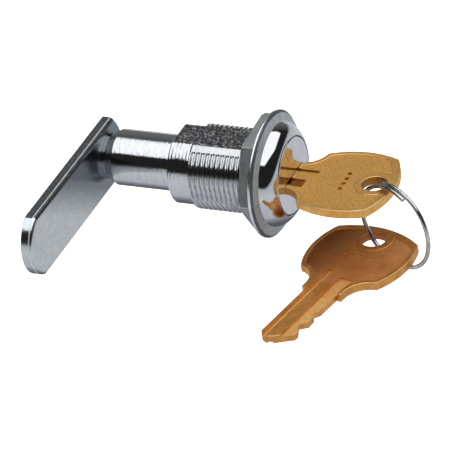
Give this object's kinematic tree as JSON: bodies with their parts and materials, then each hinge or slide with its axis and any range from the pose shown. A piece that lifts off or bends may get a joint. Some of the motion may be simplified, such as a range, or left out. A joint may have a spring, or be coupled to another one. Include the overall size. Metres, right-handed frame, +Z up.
{
  "type": "cam lock",
  "caption": "Key-operated cam lock with a threaded double-D barrel, jam nut, long plug extension, straight cam and two keys on a wire ring.",
  "frame": {"origin": "centre of the panel flange's rear face, on the lock's axis", "axes": "+Y along the lock's axis from the key side through the panel to the cam; +Z up, square to the barrel's top flat; +X to the right seen from the key side, so the cam points to -X"},
  "size_m": [0.056, 0.0835, 0.0332],
  "materials": {
    "chrome": "polished",
    "nut_zinc": "satin",
    "cam_zinc": "satin",
    "steel": "bright",
    "key_brass": "satin",
    "spare_brass": "satin",
    "wafer_brass": "plain"
  },
  "bodies": {
    "housing": {"housing": "chrome", "stop_pin": "steel"},
    "nut": {"mounting_nut": "nut_zinc"},
    "plug": {"plug": "chrome", "wafer_springs": "steel", "retainer_wafer": "wafer_brass", "retainer_spring": "steel", "cam": "cam_zinc", "lock_washer": "steel", "cam_screw": "steel"},
    "wafers": {"wafer_1": "wafer_brass", "wafer_2": "wafer_brass", "wafer_3": "wafer_brass", "wafer_4": "wafer_brass", "wafer_5": "wafer_brass"},
    "key": {"key": "key_brass"},
    "ring": {"key_ring": "steel"},
    "spare_key": {"spare_key": "spare_brass"}
  },
  "joints": [
    {"name": "plug_turn", "type": "hinge", "parent": "housing", "child": "plug", "pos_m": [0, 0, 0], "axis": [0, 1, 0], "range_deg": [0, 90]},
    {"name": "nut_travel", "type": "slide", "parent": "housing", "child": "nut", "axis": [0, 1, 0], "range_m": [0, 0.0125]},
    {"name": "key_withdraw", "type": "slide", "parent": "plug", "child": "key", "axis": [0, -1, 0], "range_m": [0, 0.024]},
    {"name": "wafers_lift", "type": "slide", "parent": "plug", "child": "wafers", "axis": [1, 0, 0], "range_m": [0, 0.0009]},
    {"name": "ring_slide_round", "type": "hinge", "parent": "key", "child": "ring", "pos_m": [-0.00236, -0.02909, -0.0085], "axis": [0.9063, -0.4226, 0], "range_deg": [-12, 12]},
    {"name": "spare_key_swing", "type": "hinge", "parent": "ring", "child": "spare_key", "pos_m": [0.0001, -0.0221, -0.0155], "axis": [0, 0, 1], "range_deg": [-60, 4]}
  ],
  "couplings": [
    {"joint": "wafers_lift", "follows": "key_withdraw", "ratio": 0.0375}
  ]
}
